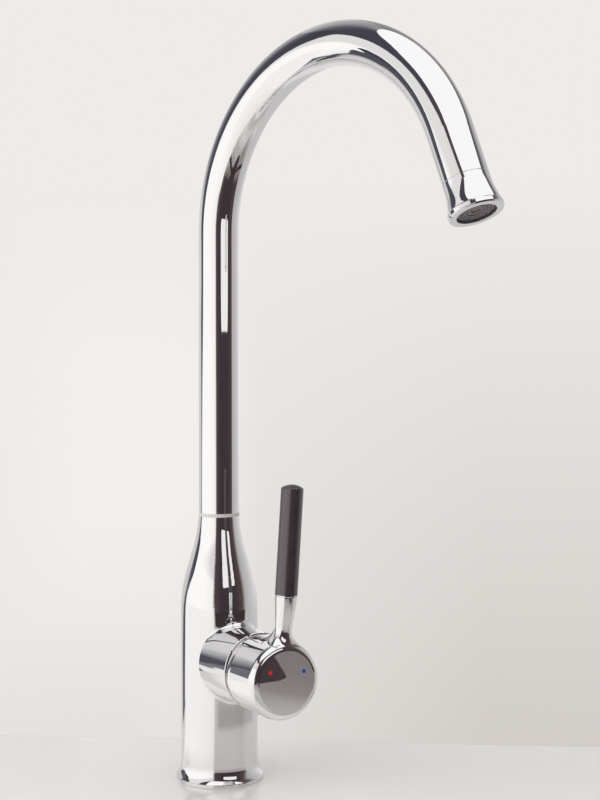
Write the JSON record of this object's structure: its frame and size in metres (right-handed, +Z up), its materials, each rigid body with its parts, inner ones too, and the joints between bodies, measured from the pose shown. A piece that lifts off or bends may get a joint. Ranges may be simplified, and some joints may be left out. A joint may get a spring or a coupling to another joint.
{
  "type": "kitchen tap",
  "caption": "Tall swan-neck kitchen tap with a bottle-shaped body and one side lever for hot, cold and filtered water, in polished chrome with a black grip.",
  "frame": {"origin": "centre of the tap's foot, on the sink top, on the axis of the round body", "axes": "+Z up along the body's axis; -Y out along the handle's own axis, so the front of the tap faces -Y; +X to the right as seen from the front"},
  "size_m": [0.0818, 0.2433, 0.4473],
  "materials": {
    "chrome": "polished chromium plate on brass",
    "black_grip": "satin black coated aluminium",
    "white_plastic": "off-white low-friction plastic",
    "brass": "machined brass",
    "rubber": "black rubber",
    "grey_plastic": "moulded grey plastic",
    "ceramic": "lapped white ceramic",
    "steel": "turned stainless steel",
    "set_screw_plug": "bright grey plug",
    "red_mark": "red enamel",
    "blue_mark": "blue enamel",
    "aerator_plastic": "dark grey-brown plastic",
    "screen_steel": "woven stainless steel, drawn as a pierced disc"
  },
  "bodies": {
    "tap_body": {"body_casting": "chrome", "base_ring": "chrome", "base_seal": "rubber", "swivel_ring": "white_plastic", "spout_retaining_screw": "steel", "filter_spigot": "brass", "filter_spigot_seals": "rubber", "cartridge_base": "grey_plastic", "cartridge_port_seals": "rubber", "fixed_disc_seals": "rubber", "ceramic_fixed_disc": "ceramic", "cartridge_housing": "grey_plastic", "cartridge_nut": "brass", "dome_cover": "chrome", "dome_seal": "rubber"},
    "turning_carrier": {"cartridge_rotor": "grey_plastic", "rotor_slip_ring": "white_plastic", "stem_pivot_pin": "steel"},
    "handle": {"cartridge_stem": "steel", "handle_hub": "chrome", "hub_set_screw": "steel", "set_screw_plug": "set_screw_plug", "hot_mark": "red_mark", "cold_mark": "blue_mark", "grip_collar": "chrome", "lever_grip": "black_grip", "grip_stud": "steel"},
    "sliding_disc": {"disc_carrier": "grey_plastic", "ceramic_moving_disc": "ceramic"},
    "spout": {"spout_tube": "chrome", "spout_tail": "brass", "spout_o_rings": "rubber", "spout_slip_rings": "white_plastic", "filtered_tube_socket": "brass", "filtered_water_tube": "white_plastic", "tube_spacers": "grey_plastic", "outlet_nozzle": "chrome", "nozzle_o_ring": "rubber", "aerator_washer": "rubber", "aerator_housing": "aerator_plastic", "aerator_screen": "screen_steel", "aerator_rings": "aerator_plastic", "filtered_jet": "aerator_plastic"}
  },
  "joints": [
    {"name": "spout_swivel", "type": "hinge", "parent": "tap_body", "child": "spout", "pos_m": [0, 0, 0.1629], "axis": [0, 0, 1], "continuous": true},
    {"name": "lever_turn", "type": "hinge", "parent": "tap_body", "child": "turning_carrier", "pos_m": [0, -0.0528, 0.0758], "axis": [0, -1, 0], "range_deg": [-41.15, 48.85]},
    {"name": "lever_tilt", "type": "hinge", "parent": "turning_carrier", "child": "handle", "pos_m": [0, -0.0528, 0.0758], "axis": [0.9977, 0, -0.0671], "range_deg": [-14, 14]},
    {"name": "disc_slide", "type": "slide", "parent": "turning_carrier", "child": "sliding_disc", "axis": [0.0671, 0, 0.9977], "range_m": [-0.0031, 0.0031]}
  ],
  "couplings": [
    {"joint": "disc_slide", "follows": "lever_tilt", "m_per_rad": 0.0123}
  ]
}
